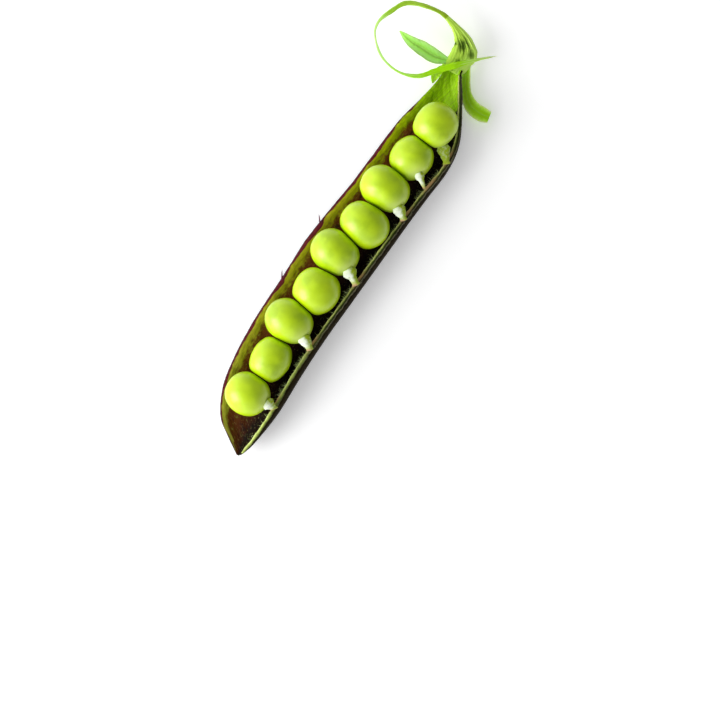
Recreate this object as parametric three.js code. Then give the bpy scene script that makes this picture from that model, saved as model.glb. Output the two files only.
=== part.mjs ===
// One valve of a purple-podded pea, opened along both seams and lying on its back, with its nine
// peas, their seed stalks, the calyx, three sepals and the string that peeled off the seam.
// Millimetres, +Z up. The origin is the middle of the flat on which the valve rests. +X runs along
// the pod to the calyx, +Y to the dorsal rim and -Y to the rim from which the seeds hang.
import * as THREE from "three";

// ---- driving dimensions ----
const TIP_X = -50.5; // end of the beak
const NECK_X = 47.4; // end of the valve, under the calyx
const WALL = 1.1; // thickness of the pod wall at mid-length
const FULL_HALF_WIDTH = 8.2; // half the valve's width at mid-length
const FULL_DEPTH = 5.1; // half the height of the oval that the wall follows there
const SETTLE = 0.25; // how far the round back is flattened where it rests
const GAP = 0.3; // clearance kept between neighbouring pieces
const PRESS_SOFTNESS = 0.3; // how gently a pea rounds over where its neighbour presses it
const SIDE_POWER = 2.1; // 2 would make a pea an ellipse seen from the side, more makes it squarer

// Plan outline of the valve: the few x, y points that shape each side.
const DORSAL_SIDE = [
  [TIP_X, -3.0], [-49.6, -1.7], [-48.2, 0.4], [-45.5, 3.9], [-41.7, 6.2], [-37.5, 7.6], [-31, 8.4],
  [-22.6, 8.6], [-10, 7.9], [-2, 7.6], [7, 6.3], [14, 5.1], [24, 3.9], [31.6, 2.9], [37.8, 1.3],
  [42.5, 0.2], [NECK_X, -0.4],
];
const SEED_SIDE = [
  [TIP_X, -3.5], [-49.6, -4.2], [-46, -5.3], [-38, -6.5], [-28, -6.8], [-18, -7.4], [-8, -8.4],
  [3, -9.5], [14, -10.6], [20, -11.3], [26, -12.1], [31, -12.0], [35.3, -10.8], [42.2, -7.2], [NECK_X, -4.0],
];

// Angle of the seed-side rim past the lowest line, in degrees: over 90 the rim leans inwards.
const SEED_RIM_ANGLE = [
  [TIP_X, 88], [-46, 108], [-36, 120], [-15, 118], [20, 114], [32, 106], [40, 100], [NECK_X, 92],
];
const DORSAL_RIM_ANGLE = 84;
// Height of the valve's lowest line above the table: both ends lift off it.
const KEEL = [
  [TIP_X, 3.6], [-47, 1.3], [-41, 0.1], [-35, -SETTLE], [33, -SETTLE], [38, 0.3], [43, 1.3], [NECK_X, 2.4],
];

// Peas from the calyx to the tip: centre, half-sizes along the row, across it and upwards, and the
// squareness seen from above, where 2 is an ellipse.
const PEAS = [
  { at: [34.3, -4.8, 7.5], half: [4.95, 4.7, 4.7], square: 2.25 },
  { at: [25.5, -3.8, 6.2], half: [5.15, 4.7, 4.9], square: 2.05 },
  { at: [16.7, -2.1, 6.6], half: [4.85, 5.6, 5.2], square: 2.25 },
  { at: [7.6, -2.2, 6.7], half: [4.95, 5.6, 5.3], square: 2.15 },
  { at: [-0.9, 0.4, 6.6], half: [4.85, 5.55, 5.2], square: 2.2 },
  { at: [-10.3, -0.3, 6.6], half: [5.4, 5.2, 5.2], square: 2.05 },
  { at: [-19.1, 1.6, 6.6], half: [4.85, 5.5, 5.2], square: 2.1 },
  { at: [-28.4, 0.9, 6.2], half: [5.4, 4.4, 4.8], square: 2.1 },
  { at: [-37.5, 1.5, 6.6], half: [4.8, 5.0, 4.8], square: 2.1 },
];

// Seed stalks, keyed by pea: the way each leaves its pea, the x where it meets the rim, and how
// far it stops short of the rim. The second pea's stalk has torn off there.
const STALKS = {
  1: { leaves: [-0.65, -0.74, -0.05], rimAt: 28.2, short: 0 },
  2: { leaves: [-0.48, -0.6, 0.6], rimAt: 21.0, short: 0.5 },
  3: { leaves: [-0.41, -0.82, 0.42], rimAt: 12.8, short: 0 },
  5: { leaves: [-0.36, -0.8, 0.48], rimAt: -4.8, short: 0 },
  7: { leaves: [-0.27, -0.82, 0.48], rimAt: -22.2, short: 0 },
  9: { leaves: [0.1, -0.86, 0.4], rimAt: -37.4, short: 0 },
};
const STALK_RADII = [[1.15, 0.55], [0.9, 0.55], [0.62, 0.5], [0.5, 0.45]]; // from the pea to the rim

// The strand of seam that peeled off: from the calyx round its loop and back over the neck.
const STRING = [
  [55.7, 2.6, 5.3], [56.4, 5.6, 5.9], [55.9, 10.3, 6.7], [54.2, 14.3, 7.2], [51.0, 16.2, 7.4],
  [47.8, 17.4, 7.4], [45.0, 16.8, 7.3], [41.5, 13.1, 7.1], [40.4, 8.4, 6.9], [41.7, 4.1, 6.6],
  [44.8, 1.1, 6.5], [48.2, -2.2, 6.6], [51.8, -5.8, 5.9], [54.6, -8.9, 4.9],
];
// At even steps along it.
const STRING_HALF_WIDTHS = [0.6, 0.5, 0.48, 0.56, 0.26, 0.27, 0.28, 0.52, 0.72, 0.42, 0.2];
const STRING_FLATNESS = 0.55; // thickness over width

// The calyx cup, torn open: its two edges from the neck to the start of the string, and its pits.
const CALYX_LEFT = [
  [47.8, 0.4, 4.3], [49.6, 0.4, 4.7], [52.3, 0.8, 5.0], [54.0, 1.2, 5.1], [55.1, 2.0, 5.2],
];
const CALYX_RIGHT = [
  [48.3, -4.4, 3.4], [50.2, -5.0, 3.6], [52.2, -5.1, 4.0], [53.9, -4.1, 4.3], [55.2, -1.8, 4.7],
  [56.0, 1.7, 5.2],
];
const CALYX_THICKNESS = 1.3;
const CALYX_PITS = [[53.0, -1.3, 1.1], [52.1, -3.8, 1.0], [49.2, -2.2, 0.7]]; // x, y, radius

const SEPALS = {
  sepal_left: {
    line: [[47.9, 0.9, 4.4], [47.6, 3.0, 5.2], [47.6, 6.0, 5.8], [47.7, 9.2, 6.0], [48.5, 12.5, 5.6]],
    halfWidths: [0.55, 1.2, 1.7, 1.7, 1.35, 0.8, 0.12],
    thickness: 0.4,
    cup: 0.2,
  },
  sepal_right: {
    line: [
      [48.2, -5.2, 2.3], [46.4, -5.9, 1.8], [44.9, -6.9, 1.5], [43.4, -8.3, 1.6], [42.4, -10.0, 1.9],
      [42.1, -12.1, 2.0], [42.4, -14.1, 1.8],
    ],
    halfWidths: [0.7, 0.7, 0.85, 1.2, 1.5, 1.6, 1.3],
    thickness: 0.5,
    cup: 0.3,
  },
  sepal_small: {
    line: [[46.9, 0.1, 5.1], [45.2, 0.6, 4.9], [43.8, 0.8, 4.6], [42.3, 0.5, 4.3]],
    halfWidths: [0.4, 0.9, 0.9, 0.12],
    thickness: 0.4,
    cup: 0.2,
  },
};

const COLOURS = {
  skin: 0x2c1a2b, pea: 0xb9d431, stalk: 0xdde8c0, calyx: 0x8fb42e, sepal: 0x63991f, string: 0xa3cf45,
};

// ---- helpers ----
const radians = THREE.MathUtils.degToRad;
const mix = THREE.MathUtils.lerp;
const point = (p) => new THREE.Vector3(...p);

// The value a share t of the way along a list of values at even steps.
function along(values, t) {
  const i = Math.min(Math.floor(t * (values.length - 1)), values.length - 2);
  return mix(values[i], values[i + 1], t * (values.length - 1) - i);
}

// y at x on a smooth line through a few points: cubic spans whose slopes come from the neighbours.
function lineThrough(points) {
  const slope = points.map((_, i) => {
    const a = points[Math.max(i - 1, 0)];
    const b = points[Math.min(i + 1, points.length - 1)];
    return (b[1] - a[1]) / (b[0] - a[0]);
  });
  return (x) => {
    const last = points.length - 2;
    const i = Math.min(Math.max(points.findIndex((p) => p[0] > x) - 1, 0), last);
    const span = x >= points[last + 1][0] ? last : i;
    const [[x0, y0], [x1, y1]] = [points[span], points[span + 1]];
    const h = x1 - x0;
    const t = THREE.MathUtils.clamp((x - x0) / h, 0, 1);
    const bend = h * t * (1 - t) * ((1 - t) * slope[span] - t * slope[span + 1]);
    return y0 + (y1 - y0) * t * t * (3 - 2 * t) + bend;
  };
}

// A closed solid between two grids of points of the same size: both faces and the four edges.
function solidBetween(top, bottom) {
  const rows = top.length;
  const columns = top[0].length;
  const positions = [...top.flat(), ...bottom.flat()].flatMap((p) => [p.x, p.y, p.z]);
  const upper = (i, j) => i * columns + j;
  const lower = (i, j) => rows * columns + upper(i, j);
  const index = [];
  const quad = (a, b, c, d) => index.push(a, b, c, a, c, d);
  for (let i = 0; i < rows - 1; i++) {
    for (let j = 0; j < columns - 1; j++) {
      quad(upper(i, j), upper(i + 1, j), upper(i + 1, j + 1), upper(i, j + 1));
      quad(lower(i, j), lower(i, j + 1), lower(i + 1, j + 1), lower(i + 1, j));
    }
    quad(upper(i, 0), lower(i, 0), lower(i + 1, 0), upper(i + 1, 0));
    const end = columns - 1;
    quad(upper(i, end), upper(i + 1, end), lower(i + 1, end), lower(i, end));
  }
  for (let j = 0; j < columns - 1; j++) {
    const end = rows - 1;
    quad(upper(0, j), upper(0, j + 1), lower(0, j + 1), lower(0, j));
    quad(upper(end, j), lower(end, j), lower(end, j + 1), upper(end, j + 1));
  }
  const geometry = new THREE.BufferGeometry();
  geometry.setAttribute("position", new THREE.Float32BufferAttribute(positions, 3));
  geometry.setIndex(index);
  return geometry;
}

// A closed tube along a curve, with an oval section whose half-sizes radiiAt(t) gives: the first
// lies level, across the curve, and the second at right angles to it.
function tubeAlong(curve, radiiAt, sides, steps) {
  const geometry = new THREE.CylinderGeometry(1, 1, 1, sides, steps);
  const up = new THREE.Vector3(0, 0, 1);
  const vertex = new THREE.Vector3();
  const positions = geometry.getAttribute("position");
  for (let i = 0; i < positions.count; i++) {
    vertex.fromBufferAttribute(positions, i);
    const t = Math.round((0.5 - vertex.y) * steps) / steps;
    const across = curve.getTangentAt(t).cross(up).normalize();
    const over = curve.getTangentAt(t).cross(across);
    const [wide, thick] = radiiAt(t);
    const placed = curve.getPointAt(t).addScaledVector(across, vertex.x * wide);
    placed.addScaledVector(over, vertex.z * thick);
    positions.setXYZ(i, placed.x, placed.y, placed.z);
  }
  return geometry;
}

// A sepal: a thin blade along a curve, with its half widths at even steps, and both its edges
// raised by `cup` times the half width.
function blade({ line, halfWidths, thickness, cup }) {
  const curve = new THREE.CatmullRomCurve3(line.map(point));
  const [steps, across] = [10, 4];
  const grids = [[], []];
  for (let i = 0; i <= steps; i++) {
    const forward = curve.getTangentAt(i / steps);
    const sideways = new THREE.Vector3(0, 0, 1).cross(forward).normalize();
    const outward = forward.clone().cross(sideways);
    const half = along(halfWidths, i / steps);
    grids.forEach((grid, face) => {
      grid.push([]);
      for (let j = 0; j <= across; j++) {
        const s = (2 * j) / across - 1;
        const lift = cup * half * s * s + (face ? -0.5 : 0.5) * thickness;
        const spot = curve.getPointAt(i / steps).addScaledVector(sideways, s * half);
        grid[i].push(spot.addScaledVector(outward, lift));
      }
    });
  }
  return solidBetween(grids[0], grids[1]);
}

function named(name, geometry, colour) {
  const material = new THREE.MeshStandardMaterial({ color: colour, roughness: 0.45, metalness: 0 });
  const mesh = new THREE.Mesh(geometry, material);
  mesh.name = name;
  return mesh;
}

// ---- the valve ----
const dorsalSide = lineThrough(DORSAL_SIDE);
const seedSide = lineThrough(SEED_SIDE);
const seedRimAngle = lineThrough(SEED_RIM_ANGLE);
const keel = lineThrough(KEEL);
const halfWidthAt = (x) => (dorsalSide(x) - seedSide(x)) / 2;

// A point of the wall at x, at `angle` from the lowest line (negative towards the dorsal rim) and
// `inset` from the outer skin. The section is an arc of an oval that narrows with the outline.
function wallPoint(x, angle, inset) {
  const half = halfWidthAt(x);
  const depth = FULL_DEPTH * (half / FULL_HALF_WIDTH) ** 0.7;
  const y = (dorsalSide(x) + seedSide(x)) / 2 - (half - inset) * Math.sin(angle);
  const z = keel(x) + depth - (depth - inset) * Math.cos(angle);
  return new THREE.Vector3(x, y, inset ? z : Math.max(z, 0));
}

const wallThickness = (x) => Math.min(WALL, 0.42 * halfWidthAt(x));

// Grids of the inner and the outer skin, with stations closer together towards both ends.
function valve() {
  const [steps, across] = [48, 14];
  const grids = [[], []];
  for (let i = 0; i <= steps; i++) {
    const even = i / steps;
    const x = mix(TIP_X, NECK_X, mix(even, (1 - Math.cos(Math.PI * even)) / 2, 0.6));
    grids.forEach((grid, face) => {
      grid.push([]);
      for (let j = 0; j <= across; j++) {
        const angle = radians(mix(-DORSAL_RIM_ANGLE, seedRimAngle(x), j / across));
        grid[i].push(wallPoint(x, angle, face ? 0 : wallThickness(x)));
      }
    });
  }
  return solidBetween(grids[1], grids[0]);
}

// ---- peas ----
// Keeps `value` while it is well under `limit` and bends it over to `limit` beyond.
const pressed = (value, limit) =>
  -PRESS_SOFTNESS * Math.log(Math.exp(-value / PRESS_SOFTNESS) + Math.exp(-limit / PRESS_SOFTNESS));

// The turn of the row at a pea, from the peas before and after it.
function rowTurn(i) {
  const before = PEAS[Math.min(i + 1, PEAS.length - 1)].at;
  const after = PEAS[Math.max(i - 1, 0)].at;
  return Math.atan2(after[1] - before[1], after[0] - before[0]);
}

// How far a pea's surface lies from its centre in a direction: an ellipsoid, squarish from above.
function peaReach(i, direction) {
  const local = direction.clone().applyAxisAngle(new THREE.Vector3(0, 0, 1), -rowTurn(i));
  const [x, y, z] = local.toArray().map((part, axis) => Math.abs(part / PEAS[i].half[axis]));
  const { square } = PEAS[i];
  const plan = (x ** square + y ** square) ** (1 / square);
  return (plan ** SIDE_POWER + z ** SIDE_POWER) ** (-1 / SIDE_POWER);
}

function pea(i) {
  const centre = point(PEAS[i].at);
  const neighbours = [PEAS[i - 1], PEAS[i + 1]].filter(Boolean).map((other) => point(other.at).sub(centre));
  const geometry = new THREE.SphereGeometry(1, 18, 11).rotateX(Math.PI / 2);
  const vertex = new THREE.Vector3();
  const positions = geometry.getAttribute("position");
  for (let v = 0; v < positions.count; v++) {
    vertex.fromBufferAttribute(positions, v);
    vertex.multiplyScalar(peaReach(i, vertex));
    for (const offset of neighbours) {
      const towards = offset.clone().normalize();
      const reach = vertex.dot(towards);
      vertex.addScaledVector(towards, pressed(reach, (offset.length() - GAP) / 2) - reach);
    }
    positions.setXYZ(v, vertex.x, vertex.y, vertex.z);
  }
  return geometry.translate(...PEAS[i].at);
}

// ---- seed stalks ----
// A stalk flares where it holds its pea, and arches over to come down on the rim. It starts a
// little further off than the usual gap, because its flat end leans.
function stalk(number) {
  const { leaves, rimAt, short } = STALKS[number];
  const direction = point(leaves).normalize();
  const start = point(PEAS[number - 1].at);
  start.addScaledVector(direction, peaReach(number - 1, direction) + GAP + 0.4);
  const end = wallPoint(rimAt, radians(seedRimAngle(rimAt)), wallThickness(rimAt) / 2);
  end.add(new THREE.Vector3(0, 0.3 + short, GAP + 0.45 + short / 2));
  const crest = start.clone().lerp(end, 0.5).addScaledVector(direction, 0.5);
  const curve = new THREE.QuadraticBezierCurve3(start, crest, end);
  const radiiAt = (t) => [0, 1].map((axis) => along(STALK_RADII.map((pair) => pair[axis]), t));
  return tubeAlong(curve, radiiAt, 8, 6);
}

// ---- string, calyx and sepals ----
function suture() {
  const curve = new THREE.CatmullRomCurve3(STRING.map(point));
  const half = (t) => along(STRING_HALF_WIDTHS, t);
  return tubeAlong(curve, (t) => [half(t), Math.max(0.2, half(t) * STRING_FLATNESS)], 8, 42);
}

// The torn cup: a thick sheet between two edges, ridged lengthwise and pitted on top.
function calyx() {
  const [left, right] = [CALYX_LEFT, CALYX_RIGHT].map((edge) => new THREE.CatmullRomCurve3(edge.map(point)));
  const [steps, across] = [14, 10];
  const grids = [[], []];
  for (let i = 0; i <= steps; i++) {
    grids.forEach((grid, face) => {
      grid.push([]);
      for (let j = 0; j <= across; j++) {
        const s = j / across;
        const p = left.getPointAt(i / steps).lerp(right.getPointAt(i / steps), s);
        const swell = Math.sin(Math.PI * s) ** 0.7 * (1 - 0.6 * (i / steps));
        const farness = CALYX_PITS.map(([x, y, radius]) => Math.hypot(p.x - x, p.y - y) / radius);
        const pitted = farness.reduce((sum, far) => sum + 0.8 * Math.exp(-1.6 * far * far), 0);
        p.z += face ? -0.3 - CALYX_THICKNESS * 0.5 * swell : CALYX_THICKNESS * 0.5 * swell - pitted * swell;
        grid[i].push(p);
      }
    });
  }
  return solidBetween(grids[1], grids[0]);
}

// ---- assembly ----
const part = new THREE.Group();
part.add(named("pod_valve", valve(), COLOURS.skin));
PEAS.forEach((_, i) => part.add(named(`pea_${i + 1}`, pea(i), COLOURS.pea)));
for (const number of Object.keys(STALKS)) {
  part.add(named(`funicle_${number}`, stalk(Number(number)), COLOURS.stalk));
}
part.add(named("calyx", calyx(), COLOURS.calyx), named("suture_string", suture(), COLOURS.string));
for (const [name, sepal] of Object.entries(SEPALS)) {
  part.add(named(name, blade(sepal), COLOURS.sepal));
}

export default part;
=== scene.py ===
# %% [markdown]
# # One valve of a purple-podded pea
#
# A pea pod opens along two seams into two boat-shaped halves, called valves. This file makes one
# valve lying on its back with its nine peas, the short stalks that feed them, the green calyx and
# sepals at the neck, and a strand of seam that peeled off and curled. The plain solids of the model
# are the fixed frame: each piece made here takes the place of one of them and stays in its box.

# %% The fixed frame
import functools
import math

import bpy
import numpy as np
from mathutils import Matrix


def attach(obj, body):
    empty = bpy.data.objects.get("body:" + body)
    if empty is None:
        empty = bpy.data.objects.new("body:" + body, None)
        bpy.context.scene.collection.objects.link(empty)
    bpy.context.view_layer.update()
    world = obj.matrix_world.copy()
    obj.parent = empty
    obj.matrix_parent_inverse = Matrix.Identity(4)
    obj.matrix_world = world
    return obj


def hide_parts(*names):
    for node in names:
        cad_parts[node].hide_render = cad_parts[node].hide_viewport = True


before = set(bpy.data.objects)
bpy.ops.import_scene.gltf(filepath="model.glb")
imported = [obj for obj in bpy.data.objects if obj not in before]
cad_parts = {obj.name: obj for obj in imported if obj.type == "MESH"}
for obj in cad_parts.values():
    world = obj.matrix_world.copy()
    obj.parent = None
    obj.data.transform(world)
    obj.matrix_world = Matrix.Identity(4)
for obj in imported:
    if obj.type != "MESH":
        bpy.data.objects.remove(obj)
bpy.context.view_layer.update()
MM = 0.001  # shapes are worked out in millimetres and written to meshes in metres
print("frame:", len(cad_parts), "solids")

# %% [markdown]
# ## Camera and light
#
# The pod is seen from straight above, as in a flat-lay picture, turned so that its neck points to
# the upper right. A long lens keeps the peas at the edge as round as those in the middle. The light
# is a bright white room with one soft window low on the left, nearly four times as wide as the pod
# is long: the room fills the shadows, and the window draws one broad highlight on the left of every
# pea. The Standard view keeps the greens as saturated as they are in the materials.

# %% Camera
EYE = (-18.7, -16.2, 440.0)
TURN = -60  # degrees from "+X to the right"
SENSOR, FOCAL_LENGTH = 36, 98.5  # mm
PEA_LEVEL = 6.5  # height of the peas' middles
lens = bpy.data.cameras.new("flat_lay_camera")
lens.sensor_width, lens.lens = SENSOR, FOCAL_LENGTH
camera = bpy.data.objects.new("flat_lay_camera", lens)
camera.location = [value * MM for value in EYE]
camera.rotation_euler = (0, 0, math.radians(TURN))
bpy.context.scene.collection.objects.link(camera)
bpy.context.scene.camera = camera
seen_across = SENSOR / FOCAL_LENGTH * (EYE[2] - PEA_LEVEL)
print("the camera sees", round(seen_across), "mm across at the peas")

# %% Window, room and view
WINDOW_HEADING = 138  # degrees round from +X, so that it stands to the left of the camera's view
WINDOW_ELEVATION = 27  # degrees over the floor
WINDOW_DISTANCE, WINDOW_SIZE = 0.60, 0.40  # metres
WINDOW_WATTS = 2.8
ROOM_BRIGHT, ROOM_DIM = 2.5, 0.25  # radiance on the window's side and opposite it
OVERHEAD_LOSS = 0.65  # share of the room's light that is missing straight overhead


def window_light():
    """One square soft light, turned towards the middle of the pod."""
    light = bpy.data.lights.new("window", "AREA")
    light.size = WINDOW_SIZE
    light.energy = WINDOW_WATTS
    heading, elevation = math.radians(WINDOW_HEADING), math.radians(WINDOW_ELEVATION)
    level = WINDOW_DISTANCE * math.cos(elevation)
    window = bpy.data.objects.new("window", light)
    window.location = (
        level * math.cos(heading), level * math.sin(heading), WINDOW_DISTANCE * math.sin(elevation),
    )
    window.rotation_euler = (math.pi / 2 - elevation, 0, heading + math.pi / 2)
    bpy.context.scene.collection.objects.link(window)


window_light()
bpy.context.scene.view_settings.view_transform = "Standard"
print("window", WINDOW_WATTS, "W from", WINDOW_HEADING, "degrees")

# %% [markdown]
# ## Materials: three helpers
#
# Every finish starts from a colour someone could pick on a screen, so colours are written as sRGB
# hex and turned to the linear values that the renderer adds and multiplies. One function adds a
# node with its settings, constants and links, so that each finish reads as a short list. The third
# makes the material round such a list. A finish ends in two things, a colour and a relief.


# %% Colour and node helpers
def linear(hex_colour):
    """Each sRGB channel c becomes c/12.92 up to 0.04045, and ((c+0.055)/1.055)^2.4 above it."""
    channels = np.array([int(hex_colour[i : i + 2], 16) for i in (1, 3, 5)]) / 255
    curve = np.where(channels <= 0.04045, channels / 12.92, ((channels + 0.055) / 1.055) ** 2.4)
    return (*curve.tolist(), 1.0)


def add(tree, kind, inputs, stops=None, out=0, **settings):
    """Adds a node and returns the output that is wanted. `inputs` maps its sockets to constants or
    to the outputs that feed them, and `stops` gives a colour ramp its places and hex colours."""
    made = tree.nodes.new("ShaderNode" + kind)
    for name, value in settings.items():
        setattr(made, name, value)
    for socket, value in inputs.items():
        if isinstance(value, bpy.types.NodeSocket):
            tree.links.new(value, made.inputs[socket])
        else:
            made.inputs[socket].default_value = value
    if stops:
        ramp = made.color_ramp.elements
        ramp.remove(ramp[1])
        ramp[0].position, ramp[0].color = stops[0][0], linear(stops[0][1])
        for place, colour in stops[1:]:
            ramp.new(place).color = linear(colour)
    return made.outputs[out]


# A Mix node of colours takes its share in socket 0 and the colours in 6 and 7. The result is in 2.
COLOURS = {"data_type": "RGBA", "out": 2}


def finish_from(name, pattern, reads=(), relief=None, **constants):
    """A new material. `constants` go on the shader's own sockets. `pattern` is given a function that
    adds nodes, and the piece's own attributes that `reads` names. It returns the colour, and the
    height of the relief, whose strength from 0 to 1 and depth in mm are in `relief`."""
    material = bpy.data.materials.new(name)
    material.use_nodes = True
    tree = material.node_tree
    shader = tree.nodes["Principled BSDF"]
    for socket, value in constants.items():
        shader.inputs[socket.replace("_", " ")].default_value = value
    here = functools.partial(add, tree)
    read = [
        here("Attribute", {}, out="Vector" if key == "place" else "Fac", attribute_name=key)
        for key in reads
    ]
    colour, height = pattern(here, *read)
    tree.links.new(colour, shader.inputs["Base Color"])
    if relief:
        bump = here("Bump", {"Height": height, "Strength": relief[0], "Distance": relief[1] * MM})
        tree.links.new(bump, shader.inputs["Normal"])
    return material


print("linear mid grey:", round(linear("#808080")[0], 3))

# %% [markdown]
# The room can be described now. A white room is never even: the wall beside the window is bright
# and the one opposite is dim. The direction's share towards the window sets the strength. Straight
# overhead the camera's own stand is dark, which leaves the greens clean of white reflections.


# %% Room
def white_room():
    """Strength is (dim + (bright - dim)·u²)·(1 - loss·z²), where u is the direction's share towards
    the window, put on 0 to 1, and z is how far the direction points up."""
    room = bpy.data.worlds.new("white_room")
    room.use_nodes = True
    here = functools.partial(add, room.node_tree)
    heading = math.radians(WINDOW_HEADING)
    to_window = (math.cos(heading), math.sin(heading), 0)
    direction = here("TexCoord", {}, out="Generated")
    share = here("VectorMath", {0: direction, 1: to_window}, operation="DOT_PRODUCT", out="Value")
    u = here("MapRange", {"Value": share, "From Min": -1.0, "From Max": 1.0})
    squared = here("Math", {0: u, 1: 2.0}, operation="POWER")
    level = here(
        "Math", {0: squared, 1: ROOM_BRIGHT - ROOM_DIM, 2: ROOM_DIM}, operation="MULTIPLY_ADD",
    )
    up = here("SeparateXYZ", {"Vector": direction}, out="Z")
    overhead = here("Math", {0: up, 1: up}, operation="MULTIPLY")
    kept = here("Math", {0: overhead, 1: -OVERHEAD_LOSS, 2: 1.0}, operation="MULTIPLY_ADD")
    strength = here("Math", {0: level, 1: kept}, operation="MULTIPLY")
    background = room.node_tree.nodes["Background"]
    background.inputs["Color"].default_value = (1, 1, 1, 1)
    room.node_tree.links.new(strength, background.inputs["Strength"])
    bpy.context.scene.world = room


white_room()
print("the room is", ROOM_BRIGHT / ROOM_DIM, "times as bright by the window as opposite it")

# %% [markdown]
# ## Meshes: sheets and tubes
#
# Almost everything in a pod is either a sheet with two faces, such as the wall, a sepal or the torn
# cup of the calyx, or something round carried along a path, such as a stalk, a strand or a hair.
# So there are two ways to lay faces over whole grids of points, and both close every edge and pole.
# The piece is then made from them, and its enclosed volume tells whether the faces look outwards.


# %% Mesh helpers
def sheet_faces(rows, columns):
    """Quads of a closed sheet whose grids are stacked top first: the top, the bottom turned round,
    and a band that follows the border of the top in the order its faces leave open."""
    top = np.arange(rows * columns).reshape(rows, columns)
    low = top + rows * columns
    faces = [
        np.stack([top[:-1, :-1], top[1:, :-1], top[1:, 1:], top[:-1, 1:]], -1),
        np.stack([low[:-1, :-1], low[:-1, 1:], low[1:, 1:], low[1:, :-1]], -1),
    ]
    border = np.concatenate([top[:-1, 0], top[-1, :-1], top[:0:-1, -1], top[0, :0:-1]])
    following = np.roll(border, -1)
    band = np.stack([following, border, border + top.size, following + top.size], -1)
    return np.concatenate([f.reshape(-1, 4) for f in faces] + [band]).tolist()


def tube_faces(rows, sides):
    """Quads between rings, and a fan from each end ring to a pole. The poles are the last two."""
    ring = np.arange(rows * sides).reshape(rows, sides)
    turned = np.roll(ring, -1, axis=1)
    quads = np.stack([ring[:-1], turned[:-1], turned[1:], ring[1:]], -1).reshape(-1, 4).tolist()
    first, last = rows * sides, rows * sides + 1
    start = np.stack([np.full(sides, first), turned[0], ring[0]], -1).tolist()
    end = np.stack([np.full(sides, last), ring[-1], turned[-1]], -1).tolist()
    return quads + start + end


def stacked(top, low=None):
    """The points of a top grid and then of a low one, or a grid's values given to both faces."""
    low = top if low is None else low
    return np.concatenate([grid.reshape(-1, *grid.shape[2:]) for grid in (top, low)])


def unit(vectors):
    """Vectors divided by their length."""
    return vectors / np.linalg.norm(vectors, axis=-1, keepdims=True)


def round_angles(sides):
    """Angles at even steps round a ring."""
    return np.linspace(0, 2 * np.pi, sides, endpoint=False)


def new_piece(name, points, faces, material, slot, stands_for=(), **attributes):
    """Writes points in mm and faces to a mesh that rides on the pod. Attributes hold one number or
    one vector a point, for the materials. Volume is the sum over triangles of a · (b x c) / 6."""
    mesh = bpy.data.meshes.new(name)
    mesh.from_pydata((points * MM).tolist(), [], faces)
    mesh.calc_loop_triangles()
    corners = np.empty(len(mesh.loop_triangles) * 3, int)
    mesh.loop_triangles.foreach_get("vertices", corners)
    a, b, c = points[corners.reshape(-1, 3)].transpose(1, 0, 2)
    volume = np.einsum("ij,ij->i", a, np.cross(b, c)).sum() / 6
    if volume < 0:
        mesh.flip_normals()
    mesh.shade_smooth()
    for key, values in attributes.items():
        vector = np.ndim(values) > 1
        layer = mesh.attributes.new(key, "FLOAT_VECTOR" if vector else "FLOAT", "POINT")
        layer.data.foreach_set("vector" if vector else "value", np.ravel(values).astype(np.float32))
    mesh.materials.append(material)
    piece = bpy.data.objects.new(name, mesh)
    bpy.context.scene.collection.objects.link(piece)
    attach(piece, "root")
    if stands_for:
        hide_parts(*stands_for)
    print(f"{name}: {len(mesh.loop_triangles)} triangles, {abs(volume):.1f} cubic mm")
    return piece


print("3 by 4 points make", len(sheet_faces(3, 4)), "sheet faces or", len(tube_faces(3, 4)), "tube faces")

# %% [markdown]
# ## Curves through a few points
#
# Outlines and routes are given by the few points that shape them. For a height along the pod the
# smooth line is a cubic in every span whose slope at a point comes from its two neighbours. For a
# route in space each coordinate gets the same treatment over the length walked so far.


# %% Smooth lines
def line_through(points):
    """Returns f(x): in each span y0 + (y1-y0)·t²(3-2t) + h·t(1-t)·((1-t)·slope0 - t·slope1)."""
    px, py = np.array(points, float).T
    here = np.arange(len(px))
    before, after = np.maximum(here - 1, 0), np.minimum(here + 1, len(px) - 1)
    slope = (py[after] - py[before]) / (px[after] - px[before])

    def value(x):
        i = np.clip(np.searchsorted(px, x, side="right") - 1, 0, len(px) - 2)
        h = px[i + 1] - px[i]
        t = np.clip((x - px[i]) / h, 0, 1)
        bend = h * t * (1 - t) * ((1 - t) * slope[i] - t * slope[i + 1])
        return py[i] + (py[i + 1] - py[i]) * t * t * (3 - 2 * t) + bend

    return value


def route_through(points, count):
    """`count` points at even steps of length on a smooth curve through a few points."""
    points = np.array(points, float)
    walked = np.concatenate([[0], np.cumsum(np.linalg.norm(np.diff(points, axis=0), axis=1))])
    lines = [line_through(np.stack([walked, column], 1)) for column in points.T]
    fine = np.stack([line(np.linspace(0, walked[-1], 40 * len(points))) for line in lines], 1)
    length = np.concatenate([[0], np.cumsum(np.linalg.norm(np.diff(fine, axis=0), axis=1))])
    even = np.linspace(0, length[-1], count)
    return np.stack([np.interp(even, length, column) for column in fine.T], 1)


def eased(values, t):
    """Values at even steps from 0 to 1, joined by a smooth line and read at t."""
    return line_through(np.stack([np.linspace(0, 1, len(values)), values], 1))(t)


def wobble(x, seed, scale, octaves=4):
    """Irregular waves of about unit height: a few sines, each finer and lower than the last."""
    dice = np.random.default_rng(seed)
    waves = [
        np.sin(x * scale * 1.9**k + dice.uniform(0, 2 * np.pi)) / 1.5**k for k in range(octaves)
    ]
    return np.sum(waves, axis=0)


hump = line_through([[0, 0], [1, 1], [2, 0]])
print("half way to its top, a smooth line through 0, 1, 0 is", round(float(hump(0.5)), 3), "high")

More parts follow.
